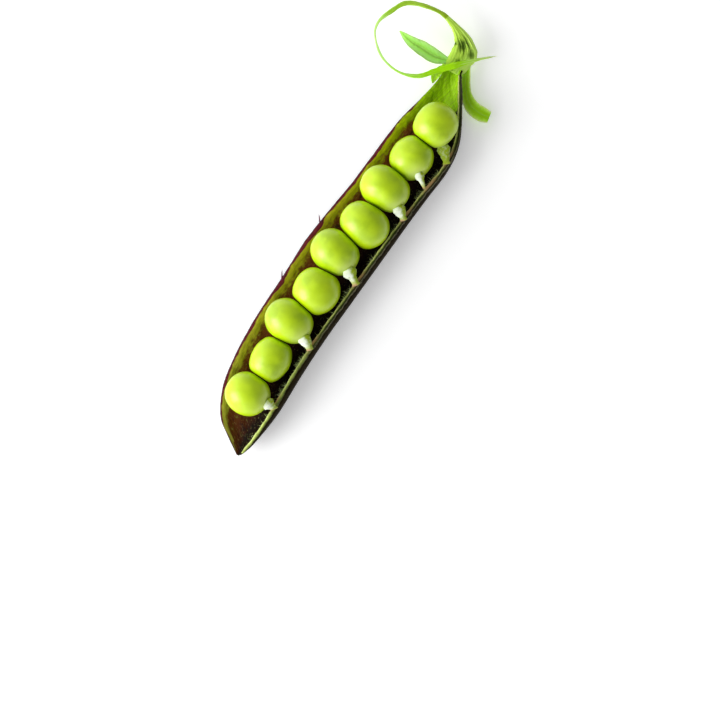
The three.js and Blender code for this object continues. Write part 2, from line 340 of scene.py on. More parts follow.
# %% [markdown]
# ## Driving dimensions
#
# The valve and the peas have the same sizes, in millimetres, as the plain solids: the outline of the
# valve, the height of its keel, and where each pea lies. +X runs to the calyx, +Y to the dorsal rim,
# and the seeds hang from the rim on the -Y side. The lists hold x and then the value there.

# %% Valve and pea sizes
TIP_X = -50.5
NECK_X = 47.4
WALL = 1.1
FULL_HALF_WIDTH, FULL_DEPTH = 8.2, 5.1  # of the oval that the wall follows at its widest
SETTLE = 0.25  # how far the oval reaches under the floor, where the wall is flattened
GAP = 0.3  # between the plain solids of neighbouring peas, and a sixth of it here
PRESS_SOFTNESS = 0.3
SIDE_POWER = 2.1  # squareness of a pea seen from the side
DORSAL_RIM_ANGLE = 84  # degrees round the oval from its lowest line, as SEED_RIM_ANGLE
DORSAL_SIDE = [
    [TIP_X, -3.0], [-49.6, -1.7], [-48.2, 0.4], [-45.5, 3.9], [-41.7, 6.2], [-37.5, 7.6], [-31, 8.4],
    [-22.6, 8.6], [-10, 7.9], [-2, 7.6], [7, 6.3], [14, 5.1], [24, 3.9], [31.6, 2.9], [37.8, 1.3],
    [42.5, 0.2], [NECK_X, -0.4],
]
SEED_SIDE = [
    [TIP_X, -3.5], [-49.6, -4.2], [-46, -5.3], [-38, -6.5], [-28, -6.8], [-18, -7.4], [-8, -8.4],
    [3, -9.5], [14, -10.6], [20, -11.3], [26, -12.1], [31, -12.0], [35.3, -10.8], [42.2, -7.2],
    [NECK_X, -4.0],
]
SEED_RIM_ANGLE = [
    [TIP_X, 88], [-46, 108], [-36, 120], [-15, 118], [20, 114], [32, 106], [40, 100], [NECK_X, 92],
]
KEEL = [
    [TIP_X, 3.6], [-47, 1.3], [-41, 0.1], [-35, -SETTLE], [33, -SETTLE], [38, 0.3], [43, 1.3],
    [NECK_X, 2.4],
]
PEAS = [  # centre, half-sizes along the row, across it and upwards, and squareness in plan
    [[34.3, -4.8, 7.5], [4.95, 4.7, 4.7], 2.25],
    [[25.5, -3.8, 6.2], [5.15, 4.7, 4.9], 2.05],
    [[16.7, -2.1, 6.6], [4.85, 5.6, 5.2], 2.25],
    [[7.6, -2.2, 6.7], [4.95, 5.6, 5.3], 2.15],
    [[-0.9, 0.4, 6.6], [4.85, 5.55, 5.2], 2.2],
    [[-10.3, -0.3, 6.6], [5.4, 5.2, 5.2], 2.05],
    [[-19.1, 1.6, 6.6], [4.85, 5.5, 5.2], 2.1],
    [[-28.4, 0.9, 6.2], [5.4, 4.4, 4.8], 2.1],
    [[-37.5, 1.5, 6.6], [4.8, 5.0, 4.8], 2.1],
]
dorsal_side, seed_side = line_through(DORSAL_SIDE), line_through(SEED_SIDE)
seed_rim_angle, keel = line_through(SEED_RIM_ANGLE), line_through(KEEL)
print("valve", NECK_X - TIP_X, "mm long,", len(PEAS), "peas")

# %% [markdown]
# ## The valve: its shape
#
# A pod wall is a single curved sheet about a millimetre thick, so it is made as one: an arc of an
# oval that narrows with the outline, carried from the tip to the neck, with an inner and an outer
# face. Three things keep it from looking moulded. The outside swells a little over each pea, the
# lips are rounded and uneven where the seam tore, and the inside is faintly ribbed.


# %% Valve shape
def wall_point(x, angle, inset):
    """A point of the wall at x, `angle` radians from its lowest line and `inset` mm inside the
    skin: the middle of the outline less (half width - inset)·sin, and up by depth less the same
    times cos. Angles past the lowest line are positive on the seed side."""
    half = (dorsal_side(x) - seed_side(x)) / 2
    depth = FULL_DEPTH * (half / FULL_HALF_WIDTH) ** 0.7
    y = (dorsal_side(x) + seed_side(x)) / 2 - (half - inset) * np.sin(angle)
    z = keel(x) + depth - (depth - inset) * np.cos(angle)
    return np.stack(np.broadcast_arrays(x, y, z), -1)


def wall_thickness(x):
    """The wall thins towards the tip and the neck, where the pod is narrow."""
    return np.minimum(WALL, 0.21 * (dorsal_side(x) - seed_side(x)))


def rounding(d):
    """Height of a quarter circle: nearly nothing at d = 0, and 1 from d = 1 on."""
    return np.sqrt(np.clip(1 - (1 - np.minimum(d, 1)) ** 2, 0.02, 1))


def valve_grids(rows, columns):
    """Outer and inner grid, each point's place as x and mm round the arc from the dorsal lip, and
    its share of the arc. Columns crowd towards the lips, where the thickness rounds to nothing. The
    skin swells by 0.3 mm where a pea presses, over about 3.4 mm each way, and the inside is ribbed
    by 0.05 mm."""
    even = np.linspace(0, 1, rows)
    x = TIP_X + (NECK_X + 0.6 - TIP_X) * (0.4 * even + 0.6 * (1 - np.cos(np.pi * even)) / 2)
    share = np.linspace(0, 1, columns)
    share = 0.35 * share + 0.65 * (1 - np.cos(np.pi * share)) / 2
    x, share = x[:, None], share[None, :]
    lip_wave = 0.012 * wobble(x, 3, 0.9) + 0.008 * wobble(x, 4, 4.0)
    dorsal = -math.radians(DORSAL_RIM_ANGLE) + lip_wave
    seed = np.radians(seed_rim_angle(x)) + 0.008 * wobble(x, 5, 2.2)
    angle = dorsal + (seed - dorsal) * share
    arc = (dorsal_side(x) - seed_side(x)) / 2 * (seed - dorsal)
    wall = wall_thickness(x)
    blunt = rounding(np.minimum(share, 1 - share) * arc / (0.5 * wall))
    keen = rounding(share * arc / (2.0 * wall))
    swell = sum(np.exp(-(((x - centre[0]) / 3.4) ** 2)) for centre, _, _ in PEAS)
    swell = 0.3 * (swell - 0.6) * np.exp(-((angle / 0.9) ** 2))
    off_lips = np.clip(share * 12, 0, 1) * np.clip(12 - share * 12, 0, 1)
    rib = 0.05 * wobble(x * 0.8 + angle * 3.0, 8, 1.1) * off_lips
    outer = wall_point(x, angle, (wall / 2) * (1 - blunt) * np.clip(share * 2, 0.1, 1) - swell)
    inner = wall_point(x, angle, np.where(share < 0.5, wall * keen, wall / 2 * (1 + blunt)) + rib)
    outer[..., 2] = np.maximum(outer[..., 2], 0)
    place = np.stack(np.broadcast_arrays(x, share * arc, 0 * x), -1)
    return outer, inner, place, np.broadcast_to(share, place.shape[:2])


VALVE_ROWS, VALVE_COLUMNS = 420, 72
outer, inner, valve_place, valve_share = valve_grids(VALVE_ROWS, VALVE_COLUMNS)
print("wall", round(float(wall_thickness(0.0)), 2), "mm thick at mid-length")

# %% [markdown]
# ## The valve: its two finishes
#
# Outside, a purple-podded pea is almost black: a smooth waxy skin, rich in anthocyanin, with a
# greyish bloom that gathers in a net of slanting veins. The bloom is a fine dust of wax, so there is
# hardly any gloss left, and next to the seam the purple goes over to a dry olive brown. Inside, the
# parchment lining is olive green near the lip, partly its own colour and partly painted light for
# the light that comes through the thin wall. On the floor it has brown-red stains, and painted shade
# darkens it to near black towards the seed lip, where the peas cast their shadow. Both patterns
# follow the wall, so they read the piece's own place in mm, not the room's axes.


# %% Pod skin and lining
def skin_pattern(add, place, share, fresh):
    """Waxed anthocyanin skin. Vein spacing is about 1.6 mm, so the cell scale is 1/1.6 per mm.
    `share` turns it brown next to the seam, and `fresh` is the green end of the dorsal lip."""
    slant = add("Mapping", {"Vector": place, "Rotation": (0, 0, 0.6), "Scale": (0.35, 1.3, 1)})
    warp = add("TexNoise", {"Vector": place, "Scale": 0.8, "Detail": 3.0}, out="Color")
    bent = add("VectorMath", {0: slant, 1: warp}, operation="ADD")
    veins = add("TexVoronoi", {"Vector": bent, "Scale": 0.62}, feature="DISTANCE_TO_EDGE")
    bloom = add("TexNoise", {"Vector": slant, "Scale": 1.3, "Detail": 8.0, "Roughness": 0.7})
    net = add("ValToRGB", {"Fac": veins}, [(0.0, "#4f4252"), (0.09, "#281a29"), (0.3, "#150b12")])
    waxed = add(
        "ValToRGB", {"Fac": bloom},
        [(0.35, "#0d0709"), (0.52, "#1a1018"), (0.66, "#2f2632"), (0.8, "#4c464f")],
    )
    colour = add("Mix", {0: 0.45, 6: waxed, 7: net}, **COLOURS)
    by_seam = add("MapRange", {"Value": share, "From Min": 0.70, "From Max": 0.84})
    brown = add("ValToRGB", {"Fac": bloom}, [(0.35, "#140e04"), (0.55, "#261e08"), (0.75, "#3c3418")])
    colour = add("Mix", {0: by_seam, 6: colour, 7: brown}, **COLOURS)
    colour = add("Mix", {0: fresh, 6: colour, 7: linear("#8fb010")}, **COLOURS)
    return colour, add("Math", {0: bloom, 1: veins}, operation="ADD")


def lining_pattern(add, place, share, lip_width):
    """Parchment lining. `share` runs from the dorsal lip to the seed lip, and noise with grains of
    about 2 mm makes the borders between its zones ragged. `lip` is how many mm of maroon show."""
    along = add("SeparateXYZ", {"Vector": place}, out="X")
    round_arc = add("SeparateXYZ", {"Vector": place}, out="Y")
    blotch = add("TexNoise", {"Vector": place, "Scale": 0.55, "Detail": 6.0, "Roughness": 0.65})
    slant = add("Mapping", {"Vector": place, "Rotation": (0, 0, -0.5), "Scale": (0.5, 2.2, 1)})
    streak = add("TexNoise", {"Vector": slant, "Scale": 0.9, "Detail": 5.0, "Roughness": 0.7})
    ragged = add("Math", {0: blotch, 1: -0.5}, operation="ADD")
    zone = add("Math", {0: ragged, 1: 0.36, 2: share}, operation="MULTIPLY_ADD")
    length = add("MapRange", {"Value": along, "From Min": TIP_X, "From Max": NECK_X})
    # The band's olive green is partly the lining's own colour and partly painted light for the light that
    # comes through the thin wall.
    green = add(
        "ValToRGB", {"Fac": length},
        [(0.0, "#dcd468"), (0.3, "#dccc44"), (0.6, "#dacc30"), (0.8, "#d4d814"), (0.93, "#aae000")],
    )
    light = add("ValToRGB", {"Fac": streak}, [(0.3, "#b4b090"), (0.5, "#dcdcc0"), (0.7, "#ffffff")])
    band = add("Mix", {0: 1.0, 6: green, 7: light}, blend_type="MULTIPLY", **COLOURS)
    stain = add(
        "ValToRGB", {"Fac": blotch},
        [(0.36, "#3a1c12"), (0.47, "#743a1a"), (0.56, "#743e1a"), (0.65, "#806420"),
         (0.78, "#b4ac70")],
    )
    # Painted shade: the floor darkens to near black towards the seed lip, where the peas cast their
    # shadow.
    dark = add("ValToRGB", {"Fac": zone}, [(0.3, "#ffffff"), (0.5, "#a89a90"), (0.62, "#3a3028")])
    stain_and_painted_shade = add("Mix", {0: 1.0, 6: stain, 7: dark}, blend_type="MULTIPLY", **COLOURS)
    reach = add("MapRange", {"Value": along, "From Min": 35.0, "From Max": 42.5, "To Max": 1.05})
    edge = add("Math", {0: zone, 1: reach}, operation="SUBTRACT")
    on_floor = add("MapRange", {"Value": edge, "From Min": 0.10, "From Max": 0.17})
    inside = add("Mix", {0: on_floor, 6: band, 7: stain_and_painted_shade}, **COLOURS)
    grains = add("TexNoise", {"Vector": place, "Scale": 2.2, "Detail": 3.0})
    speck = add("MapRange", {"Value": grains, "From Min": 0.58, "From Max": 0.75, "To Max": 0.4})
    inside = add("Mix", {0: speck, 6: inside, 7: linear("#b8b070")}, **COLOURS)
    past_lip = add("Math", {0: round_arc, 1: lip_width}, operation="SUBTRACT")
    lip = add("MapRange", {"Value": past_lip, "From Min": -0.05, "From Max": 0.1})
    return add("Mix", {0: lip, 6: linear("#6e2036"), 7: inside}, **COLOURS), streak


pod_skin = finish_from(
    "waxy purple pod skin", skin_pattern, ["place", "share", "fresh"], (0.5, 0.2),
    Roughness=0.5, Specular_IOR_Level=0.02,
)
pod_lining = finish_from(
    "pod parchment lining", lining_pattern, ["place", "share", "lip"], (0.5, 0.25),
    Roughness=0.5, IOR=1.42, Specular_IOR_Level=0.18,
)
print("finishes:", pod_skin.name, "and", pod_lining.name)

# %% [markdown]
# ## The valve: putting it together
#
# The outer grid is the top of the sheet and the inner grid its bottom. The faces carry one of two
# materials: the lining on the inner grid, and the skin everywhere else, so that the dark skin just
# shows over the lip, as a thin purple line.


# %% Valve piece
FRESH_END = [37, 41]  # x over which the outside of the dorsal lip turns green
LIP_WIDTHS = [[-49, 0.1], [-44, 0.26], [25, 0.3], [33, 0.15], [40, -0.2]]  # x, and mm of maroon
LIP_TEARS = [  # x from, x to, and how wide the maroon is there
    [-16.2, -11.2, 0.65], [-8.4, 4.0, 0.75], [14, 25, 0.15],
]


def make_valve():
    """Maroon shows past the lip by `lip` mm: a width that changes along the pod, an uneven part,
    and tears that widen from their start and close again over their last 1.2 mm."""
    x, share = stacked(valve_place)[:, 0], stacked(valve_share)
    lip = np.interp(x, *np.transpose(LIP_WIDTHS)) + 0.1 * wobble(x, 12, 0.5)
    for start, end, width in LIP_TEARS:
        lip += width * np.interp(x, [start, end - 1.2, end], [0, 1, 0])
    piece = new_piece(
        "pod_valve_shell", stacked(outer, inner), sheet_faces(VALVE_ROWS, VALVE_COLUMNS), pod_skin,
        "pod_skin", ["pod_valve"], place=stacked(valve_place), share=share, lip=lip,
        fresh=np.interp(x, FRESH_END, [0, 1]) * (share < 0.12),
    )
    piece.data.materials.append(pod_lining)
    faces_a_side = (VALVE_ROWS - 1) * (VALVE_COLUMNS - 1)
    which = np.zeros(len(piece.data.polygons), np.int32)
    which[faces_a_side : 2 * faces_a_side] = 1
    piece.data.polygons.foreach_set("material_index", which)


make_valve()

# %% [markdown]
# ## The peas: their shape
#
# A pea in a tight pod is a ball squared off by its neighbours and its wall. Each starts as a sphere
# of directions. Its reach in a direction is a squarish ellipsoid in plan and a rounder one from the
# side, less a few shallow dents on top. Where a neighbour is closer than that, the surface bends
# over to the plane half way between them.

# %% Pea shape
DENTS = {  # pea: direction in plan from its top, how deep in mm, and how wide in radians
    1: [(0.05, -0.30, 0.09, 0.45)],
    2: [(0.26, 0.27, 0.18, 0.30)],
    3: [(0.09, -0.35, 0.11, 0.32), (0.30, 0.10, 0.06, 0.30)],
    5: [(0.42, -0.33, 0.10, 0.33)],
    7: [(0.30, -0.10, 0.06, 0.35)],
    9: [(0.30, 0.20, 0.08, 0.40)],
}
PEA_RINGS, PEA_SIDES = 70, 110


def angle_from(directions, way):
    """Radians between each direction and one way."""
    return np.arccos(np.clip(directions @ way, -1, 1))


def row_turn(i):
    """The turn of the row at a pea, from the peas before and after it."""
    before = PEAS[min(i + 1, len(PEAS) - 1)][0]
    after = PEAS[max(i - 1, 0)][0]
    return math.atan2(after[1] - before[1], after[0] - before[0])


def pea_reach(i, direction):
    """((|x/a|^p + |y/b|^p)^(q/p) + |z/c|^q)^(-1/q) in the row's own axes, with p squarer than 2."""
    turn = -row_turn(i)
    a, b, c = PEAS[i][1]
    x = (direction[..., 0] * math.cos(turn) - direction[..., 1] * math.sin(turn)) / a
    y = (direction[..., 0] * math.sin(turn) + direction[..., 1] * math.cos(turn)) / b
    square = PEAS[i][2]
    plan = (np.abs(x) ** square + np.abs(y) ** square) ** (1 / square)
    return (plan**SIDE_POWER + np.abs(direction[..., 2] / c) ** SIDE_POWER) ** (-1 / SIDE_POWER)


def pea_points(i):
    """Points of pea i round its upright axis, and their directions. Pressing takes a reach v and a
    limit w to -s·ln(exp(-v/s) + exp(-w/s)), which is the smaller of them with a soft corner."""
    lower = np.linspace(0, np.pi, PEA_RINGS + 2)[1:-1, None]
    turned = round_angles(PEA_SIDES)[None, :]
    direction = np.stack(
        np.broadcast_arrays(
            np.sin(lower) * np.cos(turned), np.sin(lower) * np.sin(turned), np.cos(lower),
        ), -1,
    ).reshape(-1, 3)
    direction = np.concatenate([direction, [[0, 0, 1], [0, 0, -1]]])
    reach = pea_reach(i, direction)
    for dent_x, dent_y, deep, wide in DENTS.get(i + 1, []):
        to = np.array([dent_x, dent_y, math.sqrt(1 - dent_x**2 - dent_y**2)])
        reach = reach - deep * np.exp(-((angle_from(direction, to) / wide) ** 2))
    lumps = wobble(direction @ [2.1, 1.3, 0.4] + i, 20 + i, 1.6, 3)
    lumps = lumps * wobble(direction @ [-0.9, 1.8, 1.5], 40 + i, 1.3, 3)
    points = direction * (reach + 0.035 * lumps)[:, None]
    centre = np.array(PEAS[i][0])
    for j in (i - 1, i + 1):
        if 0 <= j < len(PEAS):
            offset = np.array(PEAS[j][0]) - centre
            apart = np.linalg.norm(offset)
            towards = offset / apart
            now = points @ towards
            limit = (apart - GAP / 6) / 2
            flat = -PRESS_SOFTNESS * np.logaddexp(-now / PRESS_SOFTNESS, -limit / PRESS_SOFTNESS)
            points += (flat - now)[:, None] * towards
    return points + centre, direction


print("pea 5 is", np.round(np.ptp(pea_points(4)[0], axis=0), 1).tolist(), "mm")

# %% [markdown]
# ## The peas: their finish
#
# A fresh pea is a thin taut skin over wet green flesh. Light enters, scatters about a millimetre
# and comes back yellower, which is why a pea glows at its edges: subsurface scattering with a
# radius longest in green. The skin is satin and its bumps are very low. The colour wanders gently
# between yellow-green and a deeper green, a pea differs a little from the next, and it is palest
# where its stalk holds it.


# %% Pea skin
def seed_coat_pattern(add, tone, pale):
    """Satin seed coat. The mottle has patches of about 4 mm, so its scale is 260 per metre. `tone`
    is the pea's own shift along the colours, and `pale` is high where the stalk grips it."""
    place = add("TexCoord", {}, out="Object")
    mottle = add("TexNoise", {"Vector": place, "Scale": 260.0, "Detail": 5.0})
    grain = add("TexNoise", {"Vector": place, "Scale": 2600.0, "Detail": 4.0})
    mixed = add("Math", {0: mottle, 1: tone}, operation="ADD")
    colour = add(
        "ValToRGB", {"Fac": mixed},
        [(0.32, "#a8cb00"), (0.42, "#b4d600"), (0.55, "#bcdd00"), (0.75, "#c4e400")],
    )
    return add("Mix", {0: pale, 6: colour, 7: linear("#d9e88c")}, **COLOURS), grain


pea_skin = finish_from(
    "fresh pea seed coat", seed_coat_pattern, ["tone", "pale"], (0.25, 0.06), Roughness=0.34,
    IOR=1.42, Subsurface_Weight=0.12, Subsurface_Scale=0.8 * MM, Subsurface_Radius=(0.8, 1.0, 0.15),
    Specular_IOR_Level=0.85,
)
print("finish:", pea_skin.name)

# %% [markdown]
# ## The seed stalks
#
# Each pea hangs from the seam by a funicle, a short white stalk. It flares into a cap that grips
# the pea, narrows to a waist, and spreads again into a foot along the seam. Neighbouring peas hang
# from opposite valves, so most other peas have no stalk here. A stalk is an oval carried along an
# arch, and its two half-sizes at even steps are the whole sculpture. The second pea's stalk is torn
# off: it is slimmer and stops short of the seam.

# %% Stalk sizes
STALKS = {  # pea: the way the stalk leaves it, the x where it meets the lip, how far short it stops
    1: [[-0.65, -0.74, -0.05], 28.2, 0],
    2: [[-0.48, -0.60, 0.60], 21.0, 0.5],
    3: [[-0.41, -0.82, 0.42], 12.8, 0],
    5: [[-0.36, -0.80, 0.48], -4.8, 0],
    7: [[-0.27, -0.82, 0.48], -22.2, 0],
    9: [[0.10, -0.86, 0.40], -37.4, 0],
}
STALK_RINGS, STALK_SIDES = 44, 28
STALK_WIDE = [1.15, 1.50, 1.46, 1.18, 0.94, 0.80, 0.74, 0.80, 0.95]
STALK_THICK = [0.50, 0.66, 0.68, 0.62, 0.56, 0.52, 0.48, 0.42, 0.30]
TORN_WIDE = [0.80, 1.08, 0.98, 0.66, 0.50, 0.46, 0.42, 0.36, 0.14]
TORN_THICK = [0.40, 0.55, 0.50, 0.42, 0.36, 0.32, 0.28, 0.20, 0.08]


def stalk_route(number, count):
    """A quadratic arch from just inside the pea, over a crest, to the middle of the lip."""
    leaves, lip_x, short = STALKS[number]
    way = unit(np.array(leaves))
    start = np.array(PEAS[number - 1][0]) + way * (float(pea_reach(number - 1, way)) - 0.15)
    end = wall_point(lip_x, math.radians(seed_rim_angle(lip_x)), wall_thickness(lip_x) / 2)
    end = end + [0, 0.1 + short, 0.25 + short / 2]
    crest = (start + end) / 2 + way * 0.9
    t = np.linspace(0, 1, count)[:, None]
    return (1 - t) ** 2 * start + 2 * t * (1 - t) * crest + t * t * end


def rings_along(route, wide, thick, sides, groove=0.0):
    """Ovals round a route: `wide` lies level across it, `thick` at right angles to both. A groove
    lowers the top of the oval by that share where |cos| is small."""
    forward = unit(np.gradient(route, axis=0))
    across = unit(np.cross(forward, [0, 0, 1]))
    over = np.cross(across, forward)
    around = round_angles(sides)
    sink = 1 - groove * np.exp(-((np.cos(around) / 0.42) ** 2)) * (np.sin(around) > 0)
    sideways = np.multiply.outer(wide, np.cos(around))[..., None] * across[:, None]
    upwards = np.multiply.outer(thick, np.sin(around) * sink)[..., None] * over[:, None]
    return route[:, None] + sideways + upwards


def capped(rings, route):
    """The rings as a list of points, with a pole at each end of the route."""
    return np.concatenate([rings.reshape(-1, 3), [route[0], route[-1]]])


stalk_start, stalk_end = stalk_route(5, STALK_RINGS)[[0, -1]]
print("the fifth pea's stalk spans", round(math.dist(stalk_start, stalk_end), 1), "mm")

# %% [markdown]
# A stalk is plant tissue full of water and air: white, with painted shade that turns it yellow-green
# on the side away from the window and underneath, and tinged pink-brown where it joins the seam. It
# scatters light more than a pea does.


# %% Stalk flesh
def stalk_pattern(add, t, green):
    """White watery tissue. `t` is 0 on the pea and 1 on the seam. `green` is painted shade: high on the
    side that faces the calyx and away from the window, and underneath, where the stalk is made a
    darker yellow-green."""
    place = add("TexCoord", {}, out="Object")
    grain = add("TexNoise", {"Vector": place, "Scale": 1500.0, "Detail": 4.0})
    ragged = add("Math", {0: grain, 1: -0.5}, operation="ADD")
    shifted = add("Math", {0: ragged, 1: 0.35, 2: t}, operation="MULTIPLY_ADD")
    # Painted shade, broken up by grain streaks, takes the stalk towards a darker yellow-green.
    painted_shade_streaks = add("Math", {0: ragged, 1: 1.6, 2: green}, operation="MULTIPLY_ADD", use_clamp=True)
    colour = add(
        "ValToRGB", {"Fac": shifted},
        [(0.0, "#ecf8d8"), (0.3, "#f8fff0"), (0.5, "#f0fad8"), (0.72, "#d0dc80"), (0.88, "#d8ac84")],
    )
    return add("Mix", {0: painted_shade_streaks, 6: colour, 7: linear("#98b020")}, **COLOURS), grain


stalk_flesh = finish_from(
    "white funicle tissue", stalk_pattern, ["t", "green"], (0.15, 0.1), Roughness=0.5, IOR=1.4,
    Subsurface_Weight=0.15, Subsurface_Scale=0.2 * MM, Subsurface_Radius=(1.0, 1.0, 0.6),
    Specular_IOR_Level=0.2,
)
print("finish:", stalk_flesh.name)


# %% Peas and stalks in place
def make_peas():
    """Each pea gets its own tone, and is palest within about 0.42 radians of its stalk."""
    tones = np.random.default_rng(11).uniform(-0.06, 0.06, len(PEAS))
    for i, tone in enumerate(tones):
        points, direction = pea_points(i)
        pale = np.zeros(len(points))
        if i + 1 in STALKS:
            way = unit(np.array(STALKS[i + 1][0]))
            pale = 0.5 * np.exp(-((angle_from(direction, way) / 0.42) ** 2))
        new_piece(
            f"pea_{i + 1}_seed", points, tube_faces(PEA_RINGS, PEA_SIDES), pea_skin, "pea",
            [f"pea_{i + 1}"], tone=np.full(len(points), tone), pale=pale,
        )


def make_stalks():
    """Painted shade: a stalk is greener towards +X, -Y and below, its side away from the window, and
    the first one, which lies in shade, is green all round.
    """
    t = np.linspace(0, 1, STALK_RINGS)
    for number, (_, _, short) in STALKS.items():
        route = stalk_route(number, STALK_RINGS)
        wide, thick = (TORN_WIDE, TORN_THICK) if short else (STALK_WIDE, STALK_THICK)
        uneven = 1 + 0.06 * wobble(t * 9, 60 + number, 1.0)
        rings = rings_along(route, eased(wide, t) * uneven, eased(thick, t), STALK_SIDES)
        points = capped(rings, route)
        off = points - np.concatenate([np.repeat(route, STALK_SIDES, axis=0), route[[0, -1]]])
        # Painted shade: the side away from the window, +X and -Y, and the underside are made greener.
        green = np.clip(0.4 + off @ [0.75, -0.65, -0.3] * 1.5, 0, 1)
        # Painted shade: the first stalk lies in shade, so all of it is made green.
        if number == 1:
            green = np.full(len(points), 0.9)
        new_piece(
            f"funicle_{number}_stalk", points, tube_faces(STALK_RINGS, STALK_SIDES), stalk_flesh,
            "seed_stalk", [f"funicle_{number}"], t=np.append(np.repeat(t, STALK_SIDES), [0, 1]),
            green=green,
        )


make_peas()
make_stalks()

# %% [markdown]
# ## The seam along the seed lip
#
# The strand that feeds the stalks runs along the lip as two pale ridges with a dark groove between
# them, where the other valve tore away. Towards the tip the ridges close up into one narrow green
# strand. At each stalk's foot the strand swells and blushes pink. It is an oval with a grooved top,
# carried along the lip and leaning with it.


# %% Seam strand shape
def seam_frame(x):
    """The lip's middle, the unit way across it from outside to inside, and the way up off it."""
    angle = np.radians(seed_rim_angle(x))
    inside, outside = wall_point(x, angle, wall_thickness(x)), wall_point(x, angle, 0 * x)
    below = wall_point(x, angle - 0.05, wall_thickness(x) / 2)
    middle = (inside + outside) / 2
    return middle, unit(inside - outside), unit(middle - below)


def seam_strand(rows=620, sides=24):
    """Points of the strand, and the material's attributes: x, the side from -1 outside to 1 inside,
    and the blush, which is strongest 1.4 mm towards the calyx from each stalk's foot. The strand is
    wide and grooved from x = -16 on, and closes up by x = -30."""
    x = np.linspace(-49.6, 46.8, rows)
    middle, across, up = seam_frame(x)
    blush = sum(np.exp(-(((x - lip_x - 1.4) / 1.7) ** 2)) for _, lip_x, _ in STALKS.values())
    open_ = np.clip((x + 30) / 14, 0, 1)
    wide = wall_thickness(x) * (0.36 + 0.18 * open_) * (1 + 0.10 * wobble(x, 70, 1.3)) + 0.10 * blush
    thick = 0.26 + 0.05 * wobble(x, 71, 2.1) + 0.12 * blush
    around = round_angles(sides)
    groove = np.exp(-((np.cos(around) / 0.4) ** 2)) * (np.sin(around) > 0)
    lift = np.sin(around) * (1 - np.multiply.outer(0.25 + 0.65 * open_, groove)) * thick[:, None]
    rings = middle[:, None] + np.multiply.outer(wide, np.cos(around))[..., None] * across[:, None]
    rings = rings + (lift + 0.02)[..., None] * up[:, None]

    def for_points(values):
        return np.append(np.repeat(values, sides), [values[0], values[-1]])

    side = np.append(np.tile(np.cos(around), rows), [0, 0])
    attributes = {"x": for_points(x), "side": side, "blush": np.clip(for_points(blush), 0, 0.8)}
    return capped(rings, middle), tube_faces(rows, sides), attributes


strand_points, strand_faces, strand_attributes = seam_strand()
print("the strand has", len(strand_points), "points")


# %% Seam strand finish and piece
def strand_pattern(add, x, side, blush):
    """Torn fibrous tissue: pale on its two ridges, olive-black in the groove, pink at the feet."""
    place = add("CombineXYZ", {0: x, 1: side})
    fibre = add("Mapping", {"Vector": place, "Scale": (1.6, 2.4, 1)})
    grain = add("TexNoise", {"Vector": fibre, "Scale": 1.0, "Detail": 6.0, "Roughness": 0.7})
    ragged = add("Math", {0: grain, 1: -0.5}, operation="ADD")
    shifted = add("Math", {0: ragged, 1: 0.9, 2: side}, operation="MULTIPLY_ADD")
    ridge = add("MapRange", {"Value": shifted, "From Min": -1.0, "From Max": 1.0})
    wide = add(
        "ValToRGB", {"Fac": ridge},
        [(0.0, "#1c1812"), (0.1, "#6e6a50"), (0.2, "#2a2a14"), (0.42, "#20280a"), (0.6, "#4c5c18"),
         (0.76, "#c0c870"), (0.9, "#dcdc90"), (0.98, "#5c6c20")],
    )
    narrow = add(
        "ValToRGB", {"Fac": ridge},
        [(0.0, "#545830"), (0.2, "#82923c"), (0.5, "#acbc5c"), (0.75, "#d4e08c"), (0.98, "#94a450")],
    )
    closing = add("MapRange", {"Value": x, "From Min": -16.0, "From Max": -30.0})
    colour = add("Mix", {0: closing, 6: wide, 7: narrow}, **COLOURS)
    inner_side = add("MapRange", {"Value": side, "From Min": -0.3, "From Max": 0.3})
    blushed = add("Math", {0: blush, 1: inner_side}, operation="MULTIPLY")
    return add("Mix", {0: blushed, 6: colour, 7: linear("#d8a478")}, **COLOURS), grain


seam_tissue = finish_from(
    "torn seam fibre", strand_pattern, ["x", "side", "blush"], (0.6, 0.15),
    Roughness=0.55, IOR=1.4, Specular_IOR_Level=0.2,
)
new_piece(
    "seed_lip_strand", strand_points, strand_faces, seam_tissue, "seed_stalk", **strand_attributes,
)

# %% [markdown]
# ## Hairs: fuzz inside the lip and torn fibres outside it
#
# A pod is lined with pale hairs that show best against the dark floor, in tufts between the peas.
# On the other lip, short purple fibres stand up where the seam tore. Both are the same thing at
# different sizes: a thin cone that curls as it grows, repeated with seeded dice, with only a few
# faces each, because there are hundreds.


# %% Hair builder
def hairs(roots, ways, lengths, radius, seed, curls=0.45, steps=5, sides=4):
    """Cones from each root: at share t the centre is root + length·(way·t + curl·t²), and the
    radius falls to nothing as 1 - t. Returns all points and faces, each hair closed by two poles."""
    dice = np.random.default_rng(seed)
    ways = unit(ways)
    t = np.linspace(0, 1, steps + 1)[:-1]
    curl = dice.normal(0, curls, roots.shape)
    step = ways[:, None] * t[:, None] + curl[:, None] * (t**2)[:, None]
    centre = roots[:, None] + lengths[:, None, None] * step
    tip = roots + lengths[:, None] * (ways + curl)
    aside = unit(np.cross(ways, [0.3, 0.5, 0.8]))
    other = np.cross(ways, aside)
    around = round_angles(sides)
    circle = aside[:, None] * np.cos(around)[:, None] + other[:, None] * np.sin(around)[:, None]
    rings = centre[:, :, None] + circle[:, None] * (radius * (1 - t))[:, None, None]
    points = np.concatenate([rings.reshape(len(roots), -1, 3), roots[:, None], tip[:, None]], axis=1)
    one = tube_faces(steps, sides)
    faces = [[v + k * points.shape[1] for v in face] for k in range(len(roots)) for face in one]
    return points.reshape(-1, 3), faces


